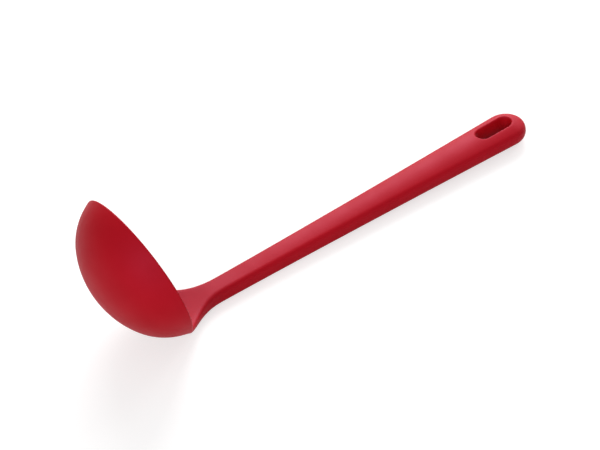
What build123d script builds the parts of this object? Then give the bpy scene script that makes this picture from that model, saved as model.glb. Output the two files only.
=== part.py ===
from build123d import *
import os
from math import asin, atan, cos, degrees, radians, sin, tan

# Soup ladle, moulded in soft silicone over a stiff nylon core, with no seam and nothing that moves.
# Lengths are in millimetres and angles in degrees.
# It is drawn as it is held: the bowl's axis is +Z, its rim lies at height zero, and the handle
# rises from the rim on the +X side. It is laid on its back at the end.

# Bowl: a round dish, flatter across the floor than up the sides, with a fully rounded lip.
rim_diameter = 90.0
bowl_depth = 30.0
bowl_wall = 3.0
wall_lean = 20.5
floor_turn = 30.0

# Handle: nearly square in section at the neck, a broad soft oval at the round end.
handle_reach = 252.0
handle_lean = 12.4
neck_width = 13.2
neck_thickness = 9.3
neck_corner = 2.5
neck_crown = 0.3
end_width = 24.8
end_thickness = 14.0
end_corner = 3.9
end_crown = 2.6

# Neck: the far wall of the bowl goes on upwards as a fan and draws in to the handle.
neck_height = 35.0
fan_angle = 45.0
fan_corner = 1.35
fan_sink = 0.1

# Hanging slot: two drafted halves that meet inside the handle, with a soft lip at both mouths.
slot_length = 23.0
slot_width = 8.6
slot_margin = 8.9
slot_draft = 4.0
slot_lip = 1.2

# Silicone over the core, on every face and round the slot.
skin_thickness = 0.9

# Windows that the silicone fills, so that it keys to the core.
grip_window_count = 4
grip_window_length = 16.0
grip_window_width = 4.0
cup_window_count = 6
cup_window_diameter = 5.0
cup_window_circle = 58.0

# Shares of the way along the neck and along the handle at which a section is set.
fan_shares = (0.0, 0.1, 0.25, 0.45, 0.7)
handle_shares = (0.0, 0.25, 0.5, 0.75, 1.0)
fan_draw = 2.15
handle_draw = 1.2
full_round_share = 0.96

# Driven sizes
rim_radius = rim_diameter / 2
lip_centre = Vector(rim_radius - bowl_wall / 2, 0, -bowl_wall / 2)
handle_line = Vector(sin(radians(handle_lean)), 0, cos(radians(handle_lean)))
front = Vector(-cos(radians(handle_lean)), 0, sin(radians(handle_lean)))
neck_centre = Vector(rim_radius, 0, 0) + handle_line * neck_height
cap_station = handle_reach - end_width / 2
slot_station = handle_reach - slot_margin - slot_length / 2
slot_share = (slot_station - neck_height) / (cap_station - neck_height)
slot_depth = (neck_thickness + (end_thickness - neck_thickness) * slot_share) / 2


def on_handle(station):
    """A point on the handle's centre line, a distance from the rim's plane along the handle."""
    return Vector(rim_radius, 0, 0) + handle_line * station


def between(start, end, share):
    return start + (end - start) * share


def eased(share):
    """A share that leaves its start and reaches its end without a kink."""
    return share * share * (3 - 2 * share)


def bowl_arcs():
    """Centre of the floor's arc and radii of the floor's and the shoulder's arcs, on mid wall."""
    # The floor's arc turns from level to floor_turn, and the shoulder's arc from there to the lip.
    lip_turn = radians(90 - wall_lean)
    turn = radians(floor_turn)
    rise = bowl_depth - bowl_wall
    floor_across, floor_up = sin(turn), 1 - cos(turn)
    shoulder_across, shoulder_up = sin(lip_turn) - sin(turn), cos(turn) - cos(lip_turn)
    scale = floor_across * shoulder_up - shoulder_across * floor_up
    floor_radius = (lip_centre.X * shoulder_up - shoulder_across * rise) / scale
    shoulder_radius = (floor_across * rise - floor_up * lip_centre.X) / scale
    floor_centre = Vector(0, floor_radius - bowl_depth + bowl_wall / 2)
    return floor_centre, floor_radius, shoulder_radius


def bowl(inset):
    """The dish, with every face moved inwards by an inset."""
    floor_centre, floor_radius, shoulder_radius = bowl_arcs()
    half_wall = bowl_wall / 2 - inset
    reach = floor_radius - shoulder_radius
    turn = radians(floor_turn)
    shoulder_centre = floor_centre + Vector(sin(turn), -cos(turn)) * reach
    shoulder_span = 90 - wall_lean - floor_turn
    lip = CenterArc(Vector(lip_centre.X, lip_centre.Z), half_wall, -wall_lean, 180)
    if inset:
        # The core's edge is square, inside the round lip of the silicone.
        up_wall = Vector(sin(radians(wall_lean)), cos(radians(wall_lean))) * half_wall
        lip = Polyline(lip @ 0, (lip @ 0) + up_wall, (lip @ 1) + up_wall, lip @ 1)
    curves = [
        CenterArc(floor_centre, floor_radius + half_wall, -90, floor_turn),
        CenterArc(shoulder_centre, shoulder_radius + half_wall, floor_turn - 90, shoulder_span),
        lip,
        CenterArc(shoulder_centre, shoulder_radius - half_wall, -wall_lean, -shoulder_span),
        CenterArc(floor_centre, floor_radius - half_wall, floor_turn - 90, -floor_turn),
    ]
    curves.append(Line(curves[-1] @ 1, curves[0] @ 0))
    return revolve(Plane.XZ * make_face(curves), Axis.Z)


def section(half_width, thickness, bend, crown, corner):
    """A closed outline: a band bent round the bowl's axis, or a bar with crowned faces."""
    # The middle of the band ends at half_width, where it has turned by the bend.
    turn = radians(bend)
    edge_rise = half_width * tan(turn / 2)
    edge_half = thickness / 2 - crown
    across, up = sin(turn) * edge_half, cos(turn) * edge_half
    front_right = (half_width - across, edge_rise + up)
    back_right = (half_width + across, edge_rise - up)
    front_left = (-front_right[0], front_right[1])
    back_left = (-back_right[0], back_right[1])
    outline = [
        ThreePointArc(front_left, (0, thickness / 2), front_right),
        Line(front_right, back_right),
        ThreePointArc(back_right, (0, -thickness / 2), back_left),
        Line(back_left, front_left),
    ]
    face = make_face(outline)
    return fillet(face.vertices(), min(corner, edge_half * full_round_share))


def fan_section(share, inset):
    """A section of the neck, turned from the rim's plane at the bottom to the handle's at the top."""
    root_half_width = lip_centre.X * sin(radians(fan_angle))
    drawn_in = (1 - share) ** fan_draw
    half_width = between(neck_width / 2, root_half_width, drawn_in) - inset
    thickness = between(bowl_wall - 2 * fan_sink, neck_thickness, eased(share)) - 2 * inset
    bend = degrees(asin(half_width * (1 - share) / lip_centre.X))
    crown = neck_crown * share
    corner = between(fan_corner, neck_corner, share) - inset
    tilt = radians(handle_lean * share)
    centre = lip_centre + (neck_centre - lip_centre) * share
    plane = Plane(origin=centre, x_dir=(0, 1, 0), z_dir=(sin(tilt), 0, cos(tilt)))
    return plane * section(half_width, thickness, bend, crown, corner)


def handle_section(share, inset):
    """A section of the handle, square to its centre line."""
    station = between(neck_height, cap_station, share)
    half_width = between(neck_width, end_width, share**handle_draw) / 2 - inset
    thickness = between(neck_thickness, end_thickness, share) - 2 * inset
    crown = between(neck_crown, end_crown, share)
    corner = between(neck_corner, end_corner, share) - inset
    plane = Plane(origin=on_handle(station), x_dir=(0, 1, 0), z_dir=handle_line)
    return plane * section(half_width, thickness, 0, crown, corner)


def end_cap(inset):
    """The round end: half of the last section, turned half round the line through its middle."""
    last = handle_section(1, inset)
    keep = Plane(origin=on_handle(cap_station), x_dir=(0, 1, 0), z_dir=handle_line)
    half = last & keep * Rectangle(end_width, end_thickness, align=(Align.MAX, Align.CENTER))
    return revolve(half, Axis(on_handle(cap_station), front), 180)


def slot_half(inset):
    """Half of the hanging slot, from mid thickness up: it widens by its draft."""
    outline = SlotOverall(slot_length + 2 * inset, slot_width + 2 * inset)
    return extrude(outline, slot_depth, taper=-slot_draft)


def slot_lip_half():
    """Half of the slot with its mouth rounded, as cut from a block as deep as the handle there."""
    block = extrude(Rectangle(2 * slot_length, 2 * slot_width), slot_depth)
    holed = block - slot_half(0)
    mouth = holed.faces().sort_by(Axis.Z)[-1].inner_wires()[0].edges()
    opened = block - fillet(mouth, slot_lip)
    spread = 2 * (slot_lip + slot_depth * tan(radians(slot_draft)))
    above = SlotOverall(slot_length + spread, slot_width + spread)
    return opened + Pos(0, 0, slot_depth) * extrude(above, slot_lip)


def both_ways(half):
    """The half and the same half turned over, set at the middle of the slot."""
    middle = Plane(origin=on_handle(slot_station), x_dir=handle_line, z_dir=front)
    return middle * (half + Rot(180, 0, 0) * half)


def ladle(inset, opening):
    """The whole ladle as one shape, with every face moved inwards by an inset."""
    handle = [handle_section(share, inset) for share in handle_shares]
    neck = [fan_section(share, inset) for share in fan_shares] + handle[:1]
    # The slot runs from the handle into its round end, so it is cut from each of them.
    return bowl(inset) + loft(neck) + (loft(handle) - opening) + (end_cap(inset) - opening)


def grip_windows():
    """Long windows through the handle's core, spread between the neck and the slot."""
    first = neck_height + grip_window_length
    last = slot_station - slot_length / 2 - 2 * grip_window_length
    pitch = (last - first) / (grip_window_count - 1)
    tool = extrude(SlotOverall(grip_window_length, grip_window_width), end_thickness, both=True)
    windows = []
    for number in range(grip_window_count):
        centre = on_handle(first + pitch * number)
        windows.append(Plane(origin=centre, x_dir=handle_line, z_dir=front) * tool)
    return windows


def cup_windows():
    """Round windows through the core's cup, evenly spaced about the bowl's axis."""
    tool = Cylinder(cup_window_diameter / 2, 2 * bowl_depth)
    places = PolarLocations(cup_window_circle / 2, cup_window_count)
    return [place * tool for place in places]


def silicone_body():
    """The outside of the ladle, with the soft lip round both mouths of the slot."""
    return ladle(0, both_ways(slot_lip_half()))


def nylon_core():
    """The stiff insert: cup, neck and handle bar in one moulding, with its keying windows."""
    core = ladle(skin_thickness, both_ways(slot_half(skin_thickness)))
    for window in grip_windows() + cup_windows():
        core -= window
    return core


def lying_pose(skin):
    """The move that lays the ladle on its back, with the handle along +X and its front up."""
    # The handle thickens towards its end, so the back lies flat when its centre line climbs a little.
    climb = atan((end_thickness - neck_thickness) / 2 / (cap_station - neck_height))
    turn = Rot(0, 90 - handle_lean - degrees(climb), 0)
    box = (turn * skin).bounding_box()
    centre = box.center()
    return Pos(-centre.X, -centre.Y, -box.min.Z) * turn


core = nylon_core()
skin = silicone_body() - core
pose = lying_pose(skin)

os.makedirs("parts", exist_ok=True)
for name, piece in (("silicone_skin", skin), ("nylon_core", core)):
    laid = pose * piece
    laid.label = name
    export_step(laid, f"parts/{name}.step")
    print(name, round(laid.volume), "mm3", [round(side, 2) for side in laid.bounding_box().size])
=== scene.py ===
from math import asin, atan, atan2, copysign, cos, hypot, pi, radians, sin, sqrt, tan

import bmesh
import bpy
from mathutils import Matrix, Vector


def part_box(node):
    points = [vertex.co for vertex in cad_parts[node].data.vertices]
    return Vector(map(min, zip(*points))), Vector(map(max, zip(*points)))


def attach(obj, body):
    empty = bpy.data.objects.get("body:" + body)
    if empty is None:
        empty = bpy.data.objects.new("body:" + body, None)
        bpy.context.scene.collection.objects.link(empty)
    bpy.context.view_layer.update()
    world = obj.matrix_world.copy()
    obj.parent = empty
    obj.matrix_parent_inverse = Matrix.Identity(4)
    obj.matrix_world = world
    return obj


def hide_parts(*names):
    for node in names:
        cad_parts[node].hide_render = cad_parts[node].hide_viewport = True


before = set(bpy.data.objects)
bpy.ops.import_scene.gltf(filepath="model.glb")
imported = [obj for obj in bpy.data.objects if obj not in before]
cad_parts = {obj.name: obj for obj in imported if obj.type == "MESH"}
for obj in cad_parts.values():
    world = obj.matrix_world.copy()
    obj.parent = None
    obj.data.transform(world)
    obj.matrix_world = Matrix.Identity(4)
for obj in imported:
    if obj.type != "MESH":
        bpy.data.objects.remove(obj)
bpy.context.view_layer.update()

# Silicone body. The whole visible ladle is one compression moulding of red silicone over a stiff
# core, with no seam: a round dish whose far wall goes on upwards as a fan, draws in to a slim
# handle and ends in a broad round end with a hanging slot. Its faces come satin from the tool.
mm = 0.001

# It is drawn in millimetres, as it is held: the dish's axis is Z, its rim lies at height zero, and
# the handle rises from the rim on the X side. Its front is the face that looks over the dish.
rim_diameter = 89.65
bowl_depth = 29.9
bowl_wall = 3.0
wall_lean = radians(18.3)
floor_turn = radians(30.9)
lip_outer_edge = 0.6
lip_inner_edge = 1.2

handle_reach = 252.2
handle_lean = radians(12.2)
neck_width = 13.3
neck_thickness = 9.3
neck_corner = 2.5
neck_crown = 0.3
end_width = 24.8
end_thickness = 14.4
end_corner = 4.2
end_crown = 4.2

neck_height = 34.7
fan_angle = radians(48.6)
fan_draw = 2.15
handle_draw = 1.42

slot_length = 23.6
slot_width = 8.6
slot_margin = 8.75
slot_draft = radians(4.0)
slot_lip = 1.2

# How many faces the mesh has in each direction, before it is subdivided. A sector is a quarter of
# the way round the dish, and the handle's width.
sector_columns = 16
dish_rings = 10
fan_rows = 13
handle_rows = 30
side_rows = 7
cap_columns = 16
inner_edge_columns = 3
outer_edge_columns = 4
head_loops = 4
lip_loops = 4
slot_loops = 3
subdivisions = 2

# The middle of the floor is a square grid that reaches this share of the way to the lip. The fan's
# rows lie closer together at its foot, and dip towards its edges. The handle's rows go on to the
# station at which the round end's rings start.
middle_share = 0.4
fan_row_spread = 1.1
dip_ease = 3
head_start = 205.0

# A radius as good as flat, and a bend or a curvature as good as none.
nearly_flat = 1e9
nearly_straight = 1e-9

# The rim's diameter is measured over the lip's rounded edge, and its radius to the sharp edge. A
# rounding of radius 1 starts this far from the sharp edge.
edge_share = (1 + sin(wall_lean)) / cos(wall_lean)
rim_radius = rim_diameter / 2 + lip_outer_edge * (edge_share - 1)
half_wall = bowl_wall / 2
half_out = half_wall * cos(wall_lean)
lip_drop = half_wall * (1 + sin(wall_lean))
lip_out = rim_radius - lip_drop * tan(wall_lean) - half_out
lip_centre = Vector((lip_out, 0, -half_wall))

handle_line = Vector((sin(handle_lean), 0, cos(handle_lean)))
handle_front = Vector((-cos(handle_lean), 0, sin(handle_lean)))
across = Vector((0, 1, 0))
handle_foot = Vector((rim_radius, 0, 0))
neck_centre = handle_foot + handle_line * neck_height
cap_station = handle_reach - end_width / 2
slot_station = handle_reach - slot_margin - slot_length / 2

# The dish's wall follows two arcs, a flat one for the floor and a rounder one up the side.
lip_turn = pi / 2 - wall_lean
floor_across = sin(floor_turn)
floor_up = 1 - cos(floor_turn)
shoulder_across = sin(lip_turn) - sin(floor_turn)
shoulder_up = cos(floor_turn) - cos(lip_turn)
rise = bowl_depth - bowl_wall
crossed = floor_across * shoulder_up - shoulder_across * floor_up
floor_radius = (lip_centre.x * shoulder_up - shoulder_across * rise) / crossed
shoulder_radius = (floor_across * rise - floor_up * lip_centre.x) / crossed
floor_height = floor_radius - bowl_depth + half_wall
shoulder_out = floor_across * (floor_radius - shoulder_radius)
shoulder_height = floor_height - cos(floor_turn) * (floor_radius - shoulder_radius)
floor_length = floor_radius * floor_turn
wall_length = floor_length + shoulder_radius * (lip_turn - floor_turn)


def between(start, end, share):
    return start + (end - start) * share


def eased(share):
    """A share that leaves its start and reaches its end without a kink."""
    return share * share * (3 - 2 * share)


def steps(count):
    """Shares of the way from 0 to 1, in even steps."""
    return [number / count for number in range(count + 1)]


def dish_point(length, angle, side):
    """A point inside (1) or outside (-1) the dish, a length up its wall and an angle round it."""
    if length < floor_length:
        turn, out, height, radius = length / floor_radius, 0, floor_height, floor_radius
    else:
        turn = floor_turn + (length - floor_length) / shoulder_radius
        out, height, radius = shoulder_out, shoulder_height, shoulder_radius
    radius -= side * half_wall
    away = out + radius * sin(turn)
    return Vector((away * cos(angle), away * sin(angle), height - radius * cos(turn)))


def floor_point(east_share, north_share, side):
    """A point of the floor's square grid, which is swelled to a disc."""
    east = east_share * sqrt(1 - north_share**2 / 2)
    north = north_share * sqrt(1 - east_share**2 / 2)
    length = hypot(east, north) * middle_share * wall_length
    return dish_point(length, atan2(north, east), side)


def arc_points(out, up, radius, start, turn, count):
    angles = [start + turn * step for step in steps(count)]
    return [(out + radius * cos(angle), up + radius * sin(angle)) for angle in angles]


# The level lip in profile, from the inside of the wall to its outside: distance out and height.
inner_foot = (lip_out - half_out, half_wall * (sin(wall_lean) - 1))
outer_foot = (lip_out + half_out, -lip_drop)
inner_out = rim_radius - bowl_wall / cos(wall_lean) + lip_inner_edge / edge_share
outer_out = rim_radius - lip_outer_edge * edge_share
inner_arc = arc_points(
    inner_out,
    -lip_inner_edge,
    radius=lip_inner_edge,
    start=pi - wall_lean,
    turn=wall_lean - pi / 2,
    count=inner_edge_columns,
)
outer_arc = arc_points(
    outer_out,
    -lip_outer_edge,
    radius=lip_outer_edge,
    start=pi / 2,
    turn=-pi / 2 - wall_lean,
    count=outer_edge_columns,
)
top_middle = ((inner_out + outer_out) / 2, 0)
wall_middle = ((outer_arc[-1][0] + outer_foot[0]) / 2, (outer_arc[-1][1] + outer_foot[1]) / 2)
lip_path = [inner_foot, *inner_arc, top_middle, *outer_arc, wall_middle, outer_foot]
edge_columns = len(lip_path) - 1


class Section:
    """One section across the neck or the handle: a bent band, or a bar with crowned faces."""

    def __init__(self, centre, front, half_width, thickness, bend, crown, corner):
        self.centre = centre
        self.front = front
        self.half_width = half_width
        self.bend = bend
        self.crown = crown
        self.edge_half = thickness / 2 - crown
        self.edge_rise = half_width * tan(bend / 2)
        self.corner = min(corner, self.edge_half * self.room_share())

    def room_share(self):
        """Largest corner for an edge of height 1: a crowned face leaves the edge more room."""
        slope = 2 * atan(self.crown / self.half_width) if self.crown > 0 else 0
        return tan(pi / 4 + slope / 2)

    def face_curve(self, side):
        """Height of a face at its middle, its curvature, and how far out its edge lies."""
        apex = side * (self.edge_half + self.crown)
        edge_out = self.half_width - side * self.edge_half * sin(self.bend)
        sag = self.edge_rise + side * self.edge_half * cos(self.bend) - apex
        return apex, 2 * sag / (edge_out**2 + sag**2), edge_out

    def height(self, out, side):
        """Height of the front (1) or the back (-1) over the centre, a distance out from it."""
        apex, curve, _ = self.face_curve(side)
        return apex + curve * out**2 / (1 + sqrt(max(0, 1 - (curve * out) ** 2)))

    def point(self, out, side):
        return self.centre + across * out + self.front * self.height(out, side)

    def corner_arc(self, side):
        """Height of a corner's centre over mid thickness, and the angle where it meets the face."""
        _, curve, edge_out = self.face_curve(side)
        slope = side * (self.bend - asin(max(-1, min(1, curve * edge_out))))
        radius = -side / curve if abs(curve) > nearly_straight else nearly_flat
        # A face that swells has a positive radius, and a hollow one a negative radius.
        swell = copysign(1, radius)
        aside = radius * sin(slope) - self.corner
        over = sqrt((radius - self.corner) ** 2 - aside**2)
        return self.edge_half - radius * cos(slope) + swell * over, atan2(swell * aside, over)


def fan_section(share):
    """A section of the neck, turned from the rim's plane at its foot to the handle's at its top."""
    root = lip_centre.x * sin(fan_angle)
    half_width = between(neck_width / 2, root, (1 - share) ** fan_draw)
    thickness = between(bowl_wall, neck_thickness, eased(share))
    bend = asin(half_width * (1 - share) / lip_centre.x)
    tilt = handle_lean * share
    front = Vector((-cos(tilt), 0, sin(tilt)))
    centre = lip_centre + (neck_centre - lip_centre) * share
    corner = between(half_wall, neck_corner, share)
    return Section(centre, front, half_width, thickness, bend, neck_crown * share, corner)


def handle_section(station):
    """A section of the handle, square to its centre line."""
    share = min(1, (station - neck_height) / (cap_station - neck_height))
    half_width = between(neck_width, end_width, share**handle_draw) / 2
    thickness = between(neck_thickness, end_thickness, share)
    crown = between(neck_crown, end_crown, share)
    corner = between(neck_corner, end_corner, share)
    centre = handle_foot + handle_line * station
    return Section(centre, handle_front, half_width, thickness, 0, crown, corner)


class Edge:
    """One place on the ladle's outline: its outermost point there, and the section that it ends."""

    def __init__(self, point, normal, section=None):
        self.point = point
        self.normal = normal
        self.section = section
        self.outward = None
        self.verts = []

    def border(self, side):
        """The point where the edge meets the front (1) or the back (-1)."""
        return self.verts[0 if side == 1 else -1]

    def places(self):
        """The points from the front, round the two corners, to the back."""
        front_height, front_start = self.section.corner_arc(1)
        back_height, back_start = self.section.corner_arc(-1)
        corner = self.section.corner
        front_arc = corner * (pi / 2 - front_start)
        flat = front_height + back_height
        back_arc = corner * (pi / 2 - back_start)
        points = []
        for step in steps(edge_columns):
            way = (front_arc + flat + back_arc) * step
            if way < front_arc:
                angle = front_start + way / corner
                out, up = sin(angle), front_height + corner * cos(angle)
            elif way < front_arc + flat:
                out, up = 1, front_height + front_arc - way
            else:
                angle = pi / 2 + (way - front_arc - flat) / corner
                out, up = sin(angle), -back_height + corner * cos(angle)
            points.append(self.point + self.outward * (out - 1) * corner + self.normal * up)
        return points


class RimEdge(Edge):
    """One place on the dish's level lip, at an angle round the dish."""

    def __init__(self, angle):
        self.radial = Vector((cos(angle), sin(angle), 0))
        up_wall = self.radial * sin(wall_lean) + Vector((0, 0, cos(wall_lean)))
        inwards = -self.radial * cos(wall_lean) + Vector((0, 0, sin(wall_lean)))
        middle = self.radial * lip_out + Vector((0, 0, lip_centre.z))
        super().__init__(middle + up_wall * half_wall, inwards)

    def places(self):
        return [self.radial * out + Vector((0, 0, up)) for out, up in lip_path]


def side_edge(section, side):
    place = section.centre + across * side * section.half_width + section.front * section.edge_rise
    normal = section.front * cos(section.bend) - across * side * sin(section.bend)
    return Edge(place, normal, section)


def cap_edge(angle):
    """A place on the round end, whose edge is the last section's all the way round."""
    last = handle_section(cap_station)
    outwards = handle_line * sin(angle) - across * cos(angle)
    return Edge(last.centre + outwards * last.half_width, handle_front, last)


# The outline of the ladle, once round: the rim, up one flare and side, round the end and back. The
# fan leaves the rim where its sections reach the rim's height.
root_share = -lip_centre.z / (neck_centre.z - lip_centre.z)
root_angle = asin(fan_section(root_share).half_width / lip_centre.x)
columns = 4 * sector_columns
rim_columns = columns - sector_columns
rim_angles = [between(root_angle, 2 * pi - root_angle, step) for step in steps(rim_columns)]
fan_shares = [between(root_share, 1, step**fan_row_spread) for step in steps(fan_rows)[1:]]
stations = [between(neck_height, head_start, step) for step in steps(handle_rows)[1:]]
head_stations = [between(head_start, cap_station, step) for step in steps(side_rows)[1:-1]]

rows = [fan_section(share) for share in fan_shares]
rows += [handle_section(station) for station in stations]
head_rows = [handle_section(station) for station in head_stations]
rim_edges = [RimEdge(angle) for angle in rim_angles]
minus_edges = [side_edge(row, -1) for row in rows]
plus_edges = [side_edge(row, 1) for row in rows]
head_edges = [side_edge(row, -1) for row in head_rows]
head_edges += [cap_edge(pi * step) for step in steps(cap_columns)]
head_edges += [side_edge(row, 1) for row in reversed(head_rows)]
outline = rim_edges + minus_edges + head_edges + plus_edges[::-1]

# An edge's outward direction is square to the line between its neighbours.
for before, edge, after in zip([outline[-1], *outline], outline, [*outline[1:], outline[0]]):
    edge.outward = (after.point - before.point).cross(edge.normal).normalized()

body = bmesh.new()


def add_points(points):
    return [body.verts.new(point) for point in points]


def quads_between(first, second, closed=False):
    """Faces between two rows of points of the same length."""
    count = len(first) if closed else len(first) - 1
    for number in range(count):
        after = (number + 1) % len(first)
        body.faces.new((first[number], first[after], second[after], second[number]))


def add_loops(loop, loops):
    """Closed loops of new points, each joined to the one before. It returns the last of them."""
    for points in loops:
        after = add_points(points)
        quads_between(loop, after, closed=True)
        loop = after
    return loop


for edge in outline:
    edge.verts = add_points(edge.places())
for edge, after in zip(outline, [*outline[1:], outline[0]]):
    quads_between(edge.verts, after.verts)

# Places round the dish: shares along a side of the floor's square grid, then angles from the even
# ones at the grid to those of the outline at the lip.
square_shares = [sqrt(2) * sin(between(-pi / 4, pi / 4, step)) for step in steps(sector_columns)]
even_angles = [2 * pi * step - pi / 4 for step in steps(columns)[:-1]]
fan_angles = [between(-root_angle, root_angle, step) for step in steps(sector_columns)[:-1]]
lip_angles = fan_angles + rim_angles[:-1]


def add_dish(side):
    """The inside (1) or the outside (-1) of the dish. It returns the row where the fan goes on."""
    grid = []
    for north in square_shares:
        grid.append(add_points(floor_point(east, north, side) for east in square_shares))
    for low, high in zip(grid, grid[1:]):
        quads_between(low, high)
    square = [grid[n][-1] for n in range(sector_columns)]
    square += [grid[-1][-1 - n] for n in range(sector_columns)]
    square += [grid[-1 - n][0] for n in range(sector_columns)]
    square += [grid[0][n] for n in range(sector_columns)]
    rings = []
    for step in steps(dish_rings)[1:-1]:
        length = between(middle_share, 1, step) * wall_length
        angles = [between(even, true, step) for even, true in zip(even_angles, lip_angles)]
        rings.append([dish_point(length, angle, side) for angle in angles])
    ring = add_loops(square, rings)
    foot = add_points(dish_point(wall_length, angle, side) for angle in fan_angles[1:])
    foot = [rim_edges[-1].border(side), *foot, rim_edges[0].border(side)]
    lip = [edge.border(side) for edge in rim_edges[:-1]]
    quads_between(ring, foot[:-1] + lip, closed=True)
    return foot


def row_point(number, share, reach, dip, side):
    """A point of a row, a share of its reach out. A fan's row dips to where its edges lie."""
    row = rows[number]
    out = reach * share
    if number >= fan_rows:
        return row.point(out, side)
    lower = dip * abs(share) ** dip_ease / (neck_centre - lip_centre).length
    if row.bend > nearly_straight:
        out = reach * sin(row.bend * share) / sin(row.bend)
    return fan_section(min(1, fan_shares[number] + lower)).point(out, side)


def add_handle(side, below):
    """A face of the fan and the handle, in rows from the dish up. It returns the last row."""
    shares = [between(-1, 1, step) for step in steps(sector_columns)[1:-1]]
    for number, (minus, plus) in enumerate(zip(minus_edges, plus_edges)):
        corner = plus.border(side)
        reach = corner.co.y
        dip = (corner.co - rows[number].point(reach, side)).dot(handle_line)
        line = add_points(row_point(number, share, reach, dip, side) for share in shares)
        line = [minus.border(side), *line, corner]
        quads_between(below, line)
        below = line
    return below


# Rays round the hanging slot, one for each place on the round end's outline: how far along the
# slot each one starts from its middle, and its direction.
straight = slot_length / 2 - slot_width / 2
slot_rays = [(-straight, -pi / 2 - pi * step) for step in steps(sector_columns)]
slot_rays += [(between(-straight, straight, step), pi / 2) for step in steps(side_rows)[1:-1]]
slot_rays += [(straight, pi / 2 - pi * step) for step in steps(cap_columns)]
slot_rays += [(between(straight, -straight, step), -pi / 2) for step in steps(side_rows)[1:-1]]


def slot_place(ray, spread):
    """Station and distance across for a place on a ray, a spread out from the slot's waist."""
    along, angle = ray
    radius = slot_width / 2 + spread
    return slot_station + along + radius * cos(angle), radius * sin(angle)


def head_height(station, out, side):
    """Height of the round end's face, which falls away round the end as it does to the sides."""
    section = handle_section(min(station, cap_station))
    return section.height(hypot(max(0, station - cap_station), out), side)


def handle_point(station, out, height):
    return handle_foot + handle_line * station + across * out + handle_front * height


# Each ray meets the slot's mouth at a height, by which the draft has spread the slot.
mouths = []
for ray in slot_rays:
    height = head_height(*slot_place(ray, slot_lip), 1)
    mouths.append((ray, height, (height - slot_lip) * tan(slot_draft)))
mouth_places = [slot_place(ray, spread + slot_lip) for ray, height, spread in mouths]


def slot_loop(side, out, drop, share=1):
    """A loop in the slot: moved out from its drafted wall and down from its mouth, or placed at a
    share of the way up from its waist."""
    points = []
    for ray, height, spread in mouths:
        place = slot_place(ray, spread * share + out)
        points.append(handle_point(*place, side * (height - drop) * share))
    return points


def add_head(side, top):
    """A face of the round end, in to the slot, over its lip and down its wall towards the waist."""
    border = top + [edge.border(side) for edge in reversed(head_edges)]
    starts = [((vert.co - handle_foot).dot(handle_line), vert.co.y) for vert in border]
    loops = []
    for step in steps(head_loops)[1:]:
        points = []
        for (start_station, start_out), (station, out) in zip(starts, mouth_places):
            here = between(start_station, station, step), between(start_out, out, step)
            points.append(handle_point(*here, head_height(*here, side)))
        loops.append(points)
    for step in steps(lip_loops)[1:]:
        angle = pi / 2 * (1 - step)
        loops.append(slot_loop(side, slot_lip * (1 - cos(angle)), slot_lip * (1 - sin(angle))))
    for step in steps(slot_loops)[1:-1]:
        loops.append(slot_loop(side, 0, slot_lip, share=1 - step))
    return add_loops(border, loops)


def add_face(side):
    """The front (1) or the back (-1) of the ladle. It returns the loop next to the slot's waist."""
    foot = add_dish(side)
    top = add_handle(side, foot)
    return add_head(side, top)


waist = add_loops(add_face(1), [slot_loop(1, 0, 0, share=0)])
quads_between(add_face(-1), waist, closed=True)
bmesh.ops.recalc_face_normals(body, faces=body.faces)

# The ladle is laid on its back, where its frame has it: the handle along X and its front up. The
# handle thickens towards its end, so its centre line climbs a little.
climb = atan((end_thickness - neck_thickness) / 2 / (cap_station - neck_height))
lay_down = Matrix.Rotation(pi / 2 - handle_lean - climb, 4, "Y")
body.transform(Matrix.Scale(mm, 4) @ lay_down)
coarse = bpy.data.meshes.new("silicone_body")
body.to_mesh(coarse)
body.free()
coarse.shade_smooth()


def add_object(name, data):
    thing = bpy.data.objects.new(name, data)
    bpy.context.scene.collection.objects.link(thing)
    return thing


skin = add_object("silicone_body", coarse)
skin.modifiers.new("smooth", "SUBSURF").levels = subdivisions
smoothed = skin.evaluated_get(bpy.context.evaluated_depsgraph_get())
fine = bpy.data.meshes.new_from_object(smoothed)
skin.modifiers.clear()
skin.data = fine

# It stands where the solid does, with its box in the middle of the solid's in plan.
solid_low, solid_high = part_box("silicone_skin")
low = Vector(min(vertex.co[axis] for vertex in fine.vertices) for axis in range(3))
high = Vector(max(vertex.co[axis] for vertex in fine.vertices) for axis in range(3))
shift = (solid_low + solid_high - low - high) / 2
shift.z = solid_low.z - low.z
fine.transform(Matrix.Translation(shift))


def from_hex(code):
    """An sRGB hex colour as the linear values that a socket takes."""
    linear = []
    for place in (0, 2, 4):
        share = int(code[place:place + 2], 16) / 255
        linear.append(share / 12.92 if share <= 0.04045 else ((share + 0.055) / 1.055) ** 2.4)
    return (*linear, 1.0)


def empty_tree(owner):
    """The node tree of a material or a world, with nothing in it yet."""
    owner.use_nodes = True
    owner.node_tree.nodes.clear()
    return owner.node_tree


def add_node(tree, kind, sockets=None, **settings):
    """A node with its settings; a socket takes a value, or the output that is linked to it."""
    node = tree.nodes.new(kind)
    for name, value in settings.items():
        setattr(node, name, value)
    for name, value in (sockets or {}).items():
        if isinstance(value, bpy.types.NodeSocket):
            tree.links.new(value, node.inputs[name])
        else:
            node.inputs[name].default_value = value
    return node


# Silicone rubber, moulded against a blasted tool: satin, so that soft light lies on it in broad and
# slightly cool patches, with a faint mottle in its pigment and its finish. The blast's grain is
# about 0.15 mm, too fine to show, so it is drawn at 0.7 mm. Sizes and depths are in millimetres.
silicone_red = "BE0A15"
silicone_red_deep = "B40812"
silicone_glint = "DEB8FF"
silicone_ior = 1.41
silicone_specular = 0.32
satin_smooth = 0.56
satin_rough = 0.62
mottle_size = 14.0
mottle_detail = 3.0
mottle_roughness = 0.55
mottle_low = 0.3
mottle_high = 0.7
grain_size = 0.7
grain_detail = 2.0
grain_depth = 0.02
grain_strength = 0.12

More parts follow.
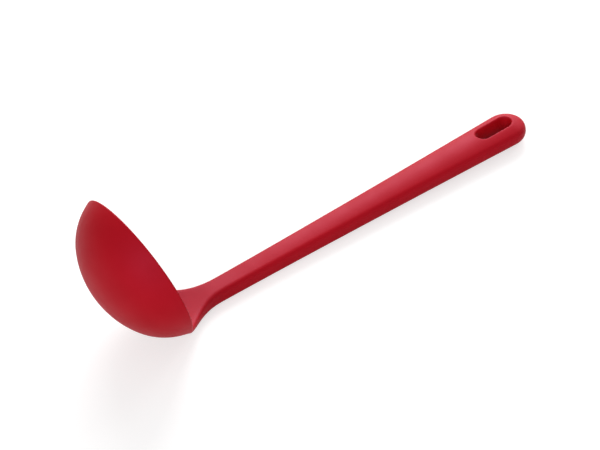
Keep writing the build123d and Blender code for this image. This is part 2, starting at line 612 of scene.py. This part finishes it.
# The mix node's colour sockets share their names with others, so they go by number.
mix_first, mix_second, mix_result = 6, 7, 2

satin_silicone = bpy.data.materials.new("satin_silicone")
tree = empty_tree(satin_silicone)
place = add_node(tree, "ShaderNodeTexCoord").outputs["Object"]
mottle = add_node(
    tree,
    "ShaderNodeTexNoise",
    {
        "Vector": place,
        "Scale": 1 / (mottle_size * mm),
        "Detail": mottle_detail,
        "Roughness": mottle_roughness,
    },
).outputs["Fac"]
pigment = add_node(
    tree,
    "ShaderNodeMix",
    {
        "Factor": mottle,
        mix_first: from_hex(silicone_red),
        mix_second: from_hex(silicone_red_deep),
    },
    data_type="RGBA",
).outputs[mix_result]
satin = add_node(
    tree,
    "ShaderNodeMapRange",
    {
        "Value": mottle,
        "From Min": mottle_low,
        "From Max": mottle_high,
        "To Min": satin_smooth,
        "To Max": satin_rough,
    },
).outputs["Result"]
grain = add_node(
    tree,
    "ShaderNodeTexNoise",
    {"Vector": place, "Scale": 1 / (grain_size * mm), "Detail": grain_detail},
).outputs["Fac"]
blasted = add_node(
    tree,
    "ShaderNodeBump",
    {"Height": grain, "Strength": grain_strength, "Distance": grain_depth * mm},
).outputs["Normal"]
surface = add_node(
    tree,
    "ShaderNodeBsdfPrincipled",
    {
        "Base Color": pigment,
        "Roughness": satin,
        "IOR": silicone_ior,
        "Specular IOR Level": silicone_specular,
        "Specular Tint": from_hex(silicone_glint),
        "Normal": blasted,
    },
).outputs["BSDF"]
add_node(tree, "ShaderNodeOutputMaterial", {"Surface": surface})

fine.materials.clear()
fine.materials.append(satin_silicone)
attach(skin, "root")
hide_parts("silicone_skin")

# Stiff core. It is injection moulded in black nylon with short glass fibres, one piece for the
# cup, the neck and the handle bar, and the silicone is moulded round it and through its windows.
# Glass-filled nylon comes out matt, with a fine flow mottle about 2 mm long.
nylon_black = "1B1B1D"
nylon_grey = "2A2A2C"
nylon_ior = 1.53
nylon_roughness = 0.6
flow_size = 2.0
flow_detail = 4.0
flow_twist = 0.6
flow_depth = 0.03
flow_strength = 0.2

moulded_nylon = bpy.data.materials.new("glass_filled_nylon")
tree = empty_tree(moulded_nylon)
place = add_node(tree, "ShaderNodeTexCoord").outputs["Object"]
flow = add_node(
    tree,
    "ShaderNodeTexNoise",
    {
        "Vector": place,
        "Scale": 1 / (flow_size * mm),
        "Detail": flow_detail,
        "Distortion": flow_twist,
    },
).outputs["Fac"]
fibres = add_node(
    tree,
    "ShaderNodeMix",
    {"Factor": flow, mix_first: from_hex(nylon_black), mix_second: from_hex(nylon_grey)},
    data_type="RGBA",
).outputs[mix_result]
flow_marks = add_node(
    tree,
    "ShaderNodeBump",
    {"Height": flow, "Strength": flow_strength, "Distance": flow_depth * mm},
).outputs["Normal"]
surface = add_node(
    tree,
    "ShaderNodeBsdfPrincipled",
    {
        "Base Color": fibres,
        "Roughness": nylon_roughness,
        "IOR": nylon_ior,
        "Normal": flow_marks,
    },
).outputs["BSDF"]
add_node(tree, "ShaderNodeOutputMaterial", {"Surface": surface})

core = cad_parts["nylon_core"]
core.data.materials.clear()
core.data.materials.append(moulded_nylon)

# Floor. A plain sheet of matt white paper under the ladle, as wide as the view from any side needs.
# It shows pale to the camera and in reflections, and still takes the ladle's soft shadow. Its side
# is in metres.
floor_side = 6.0
floor_white = "C4C4C4"
floor_lift = 0.62

half_side = floor_side / 2
corners = [
    (-half_side, -half_side, 0),
    (half_side, -half_side, 0),
    (half_side, half_side, 0),
    (-half_side, half_side, 0),
]
floor_mesh = bpy.data.meshes.new("floor")
floor_mesh.from_pydata(corners, [], [(0, 1, 2, 3)])
floor = add_object("floor", floor_mesh)

paper = bpy.data.materials.new("white_paper")
tree = empty_tree(paper)
rays = add_node(tree, "ShaderNodeLightPath").outputs
mirrored = add_node(
    tree,
    "ShaderNodeMath",
    {0: rays["Is Camera Ray"], 1: rays["Is Glossy Ray"]},
    operation="ADD",
).outputs["Value"]
shown = add_node(
    tree,
    "ShaderNodeMath",
    {0: mirrored, 1: rays["Is Transmission Ray"]},
    operation="ADD",
    use_clamp=True,
).outputs["Value"]
lift = add_node(
    tree,
    "ShaderNodeMath",
    {0: shown, 1: floor_lift},
    operation="MULTIPLY",
).outputs["Value"]
matt = add_node(tree, "ShaderNodeBsdfDiffuse", {"Color": from_hex(floor_white)}).outputs["BSDF"]
glow = add_node(tree, "ShaderNodeEmission", {"Strength": lift}).outputs["Emission"]
both = add_node(tree, "ShaderNodeAddShader", {0: matt, 1: glow}).outputs["Shader"]
add_node(tree, "ShaderNodeOutputMaterial", {"Surface": both})
floor_mesh.materials.append(paper)

# Light. A pale room with three soft lamps: a large one behind and beyond the handle, which gives
# its front a pale satin, a small one past its round end, and a fill left of the camera. The room
# shows white to the camera, and at its own level in reflections.
room_level = 0.40
room_shown = 1.0

room = bpy.data.worlds.new("room")
bpy.context.scene.world = room
tree = empty_tree(room)
rays = add_node(tree, "ShaderNodeLightPath").outputs
shown = add_node(
    tree,
    "ShaderNodeMath",
    {0: rays["Is Camera Ray"], 1: rays["Is Transmission Ray"]},
    operation="MAXIMUM",
).outputs["Value"]
level = add_node(
    tree,
    "ShaderNodeMapRange",
    {"Value": shown, "To Min": room_level, "To Max": room_shown},
).outputs["Result"]
air = add_node(tree, "ShaderNodeBackground", {"Strength": level}).outputs["Background"]
add_node(tree, "ShaderNodeOutputWorld", {"Surface": air})


def add_lamp(name, place, target, width, power):
    """A square soft lamp at a place, turned to a target, with its lengths in metres."""
    light = bpy.data.lights.new(name, "AREA")
    light.shape = "SQUARE"
    light.size = width
    light.energy = power
    lamp = add_object(name, light)
    lamp.location = place
    aim = Vector(target) - Vector(place)
    lamp.rotation_euler = aim.to_track_quat("-Z", "Y").to_euler()


add_lamp("soft_box", place=(0.9, 1.15, 1.0), target=(0.05, 0, 0.02), width=1.2, power=33)
add_lamp("side_light", place=(1.3, 0.2, 0.75), target=(0.1, 0, 0.01), width=0.6, power=4)
add_lamp("fill", place=(-1.3, -1.0, 0.75), target=(-0.05, 0, 0.03), width=0.9, power=12.8)

# Camera. It looks at the outside of the bowl from its left and above, with the handle rising away.
# Its place was worked out from the rim's ellipse and the outline of the handle. Its distance and
# its range are in metres, and its lens is in millimetres.
view_azimuth = radians(-30.908)
view_elevation = radians(39.397)
view_roll = radians(-7.634)
view_distance = 1.4623
view_target = Vector((-36.809, -39.675, 56.701)) * mm
view_range = 20.0
sensor_width = 36.0
focal_length = 162.690

toward = Vector((
    cos(view_elevation) * sin(view_azimuth),
    -cos(view_elevation) * cos(view_azimuth),
    sin(view_elevation),
))
level_right = Vector((cos(view_azimuth), sin(view_azimuth), 0))
level_up = toward.cross(level_right)
right = level_right * cos(view_roll) + level_up * sin(view_roll)
up = level_up * cos(view_roll) - level_right * sin(view_roll)
lens = bpy.data.cameras.new("camera")
lens.sensor_width = sensor_width
lens.lens = focal_length
lens.clip_end = view_range
camera = add_object("camera", lens)
turned = Matrix((right, up, toward)).transposed().to_4x4()
camera.matrix_world = Matrix.Translation(view_target + toward * view_distance) @ turned
bpy.context.scene.camera = camera
bpy.context.scene.view_settings.view_transform = "Standard"
